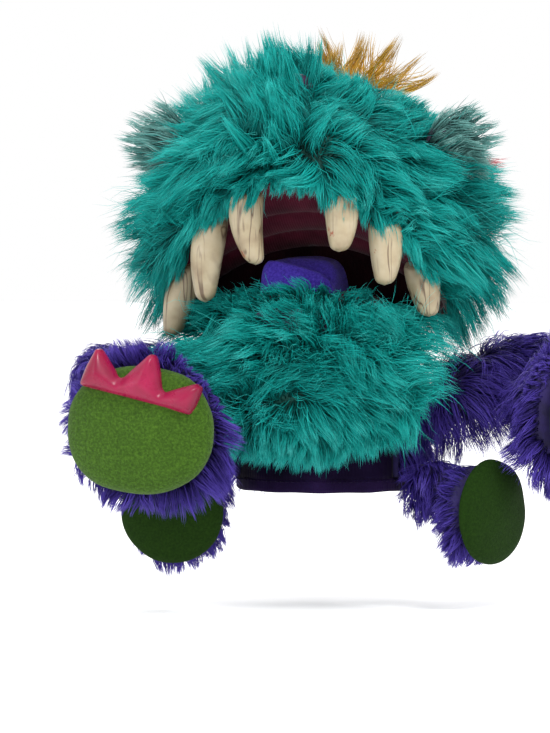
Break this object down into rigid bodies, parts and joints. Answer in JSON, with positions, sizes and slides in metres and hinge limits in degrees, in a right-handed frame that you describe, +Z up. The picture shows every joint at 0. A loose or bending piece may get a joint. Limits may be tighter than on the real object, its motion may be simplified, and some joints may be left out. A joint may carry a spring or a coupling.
{
  "type": "hand puppet",
  "caption": "Shaggy monster hand puppet with a hand-worked mouth, soft limbs and fangs, open at the hem for the forearm.",
  "frame": {"origin": "centre of the hem ring, half way up the band", "axes": "+Z up through the head, face towards -Y, the puppet's own left side towards +X"},
  "size_m": [0.2425, 0.1824, 0.223],
  "materials": {
    "knit_dark": "smooth dark purple knit",
    "binding": "bound hem",
    "lining": "plain knitted lining",
    "plush_purple": "blue-violet pile",
    "plush_teal": "long shaggy teal pile",
    "foam": "stuffing",
    "board": "stiff board",
    "mouth_cloth": "dark wine cloth",
    "fang_vinyl": "satin ivory vinyl with fine dark cracks",
    "lock_plastic": "plain",
    "nose_vinyl": "satin plum vinyl",
    "eye_plastic": "glossy",
    "plush_grey": "grey-purple fuzz",
    "hair_gold": "spiky gold hair",
    "hair_red": "red hair",
    "fleece_violet": "violet fleece",
    "fleece_lime": "lime fleece",
    "fleece_green": "dark green fleece",
    "claw_vinyl": "glossy hot pink vinyl"
  },
  "bodies": {
    "sleeve": {"hem_band": "binding", "sleeve_lining": "lining", "sleeve_front": "knit_dark", "sleeve_back": "plush_purple", "neck_collar": "lining"},
    "neck": {"neck_gusset": "lining"},
    "head": {"head_plush": "plush_teal", "head_foam": "foam", "finger_pocket": "lining", "palate_board": "board", "palate_lining": "mouth_cloth", "mouth_gusset": "mouth_cloth", "fang_inner_right": "fang_vinyl", "fang_inner_left": "fang_vinyl", "fang_middle_right": "fang_vinyl", "fang_middle_left": "fang_vinyl", "fang_outer_right": "fang_vinyl", "fang_outer_left": "fang_vinyl", "fang_washers": "lock_plastic", "nose": "nose_vinyl", "eye_left": "eye_plastic", "eye_right": "eye_plastic", "eye_washers": "lock_plastic", "ear_left": "plush_grey", "ear_right": "plush_grey", "crest_tuft": "hair_gold", "side_tuft_left": "hair_red", "side_tuft_right": "hair_red"},
    "jaw": {"jaw_lining": "mouth_cloth", "jaw_board": "board", "chin_plush": "plush_teal", "chin_foam": "foam", "thumb_pocket": "lining"},
    "tongue": {"tongue": "fleece_violet"},
    "arm_right": {"arm_right": "plush_purple"},
    "paw_right": {"paw_plush_right": "plush_purple", "paw_pad_right": "fleece_lime", "claw_strip_right": "claw_vinyl"},
    "leg_right": {"leg_right": "plush_purple", "sole_right": "fleece_green"},
    "arm_left": {"arm_left": "plush_purple"},
    "paw_left": {"paw_plush_left": "plush_purple", "paw_pad_left": "fleece_lime", "claw_strip_left": "claw_vinyl"},
    "leg_left": {"leg_left": "plush_purple", "sole_left": "fleece_green"}
  },
  "joints": [
    {"name": "neck_turn", "type": "hinge", "parent": "sleeve", "child": "neck", "pos_m": [0, 0, 0.09], "axis": [0, 0, 1], "range_deg": [-5, 10], "stiffness_Nm_per_rad": 0.6},
    {"name": "head_nod", "type": "hinge", "parent": "neck", "child": "head", "pos_m": [0, 0, 0.09], "axis": [-1, 0, 0], "range_deg": [-10, 8], "stiffness_Nm_per_rad": 3, "springref_deg": 1.41},
    {"name": "jaw_open", "type": "hinge", "parent": "head", "child": "jaw", "pos_m": [0, 0, 0.09], "axis": [1, 0, 0], "range_deg": [-8, 12], "stiffness_Nm_per_rad": 1, "springref_deg": -1.79},
    {"name": "tongue_lift", "type": "hinge", "parent": "jaw", "child": "tongue", "pos_m": [0, -0.034, 0.0875], "axis": [-1, 0, 0], "range_deg": [0, 10], "stiffness_Nm_per_rad": 0.02, "springref_deg": 1.27},
    {"name": "arm_right_lift", "type": "hinge", "parent": "sleeve", "child": "arm_right", "pos_m": [-0.0586, -0.01, 0.04], "axis": [-0.9986, -0.0532, 0], "range_deg": [-5, 12], "stiffness_Nm_per_rad": 0.5, "springref_deg": 3.73},
    {"name": "paw_right_bend", "type": "hinge", "parent": "arm_right", "child": "paw_right", "pos_m": [-0.0545, -0.087, 0.033], "axis": [-0.9986, 0.0523, 0], "range_deg": [-12, 12], "stiffness_Nm_per_rad": 0.3, "springref_deg": 1.11},
    {"name": "leg_right_swing", "type": "hinge", "parent": "sleeve", "child": "leg_right", "pos_m": [-0.0505, -0.0295, 0.002], "axis": [-0.9905, 0.1372, 0], "range_deg": [-8, 8], "stiffness_Nm_per_rad": 0.2, "springref_deg": 0.57},
    {"name": "arm_left_lift", "type": "hinge", "parent": "sleeve", "child": "arm_left", "pos_m": [0.0586, -0.01, 0.04], "axis": [-0.1171, -0.9931, 0], "range_deg": [-5, 12], "stiffness_Nm_per_rad": 0.5, "springref_deg": 2.37},
    {"name": "paw_left_bend", "type": "hinge", "parent": "arm_left", "child": "paw_left", "pos_m": [0.101, -0.015, 0.038], "axis": [-0.4695, -0.8829, 0], "range_deg": [-12, 12], "stiffness_Nm_per_rad": 0.3, "springref_deg": 1.11},
    {"name": "leg_left_swing", "type": "hinge", "parent": "sleeve", "child": "leg_left", "pos_m": [0.0525, -0.026, 0.002], "axis": [-0.3956, -0.9184, 0], "range_deg": [-8, 8], "stiffness_Nm_per_rad": 0.2, "springref_deg": 0.64}
  ]
}
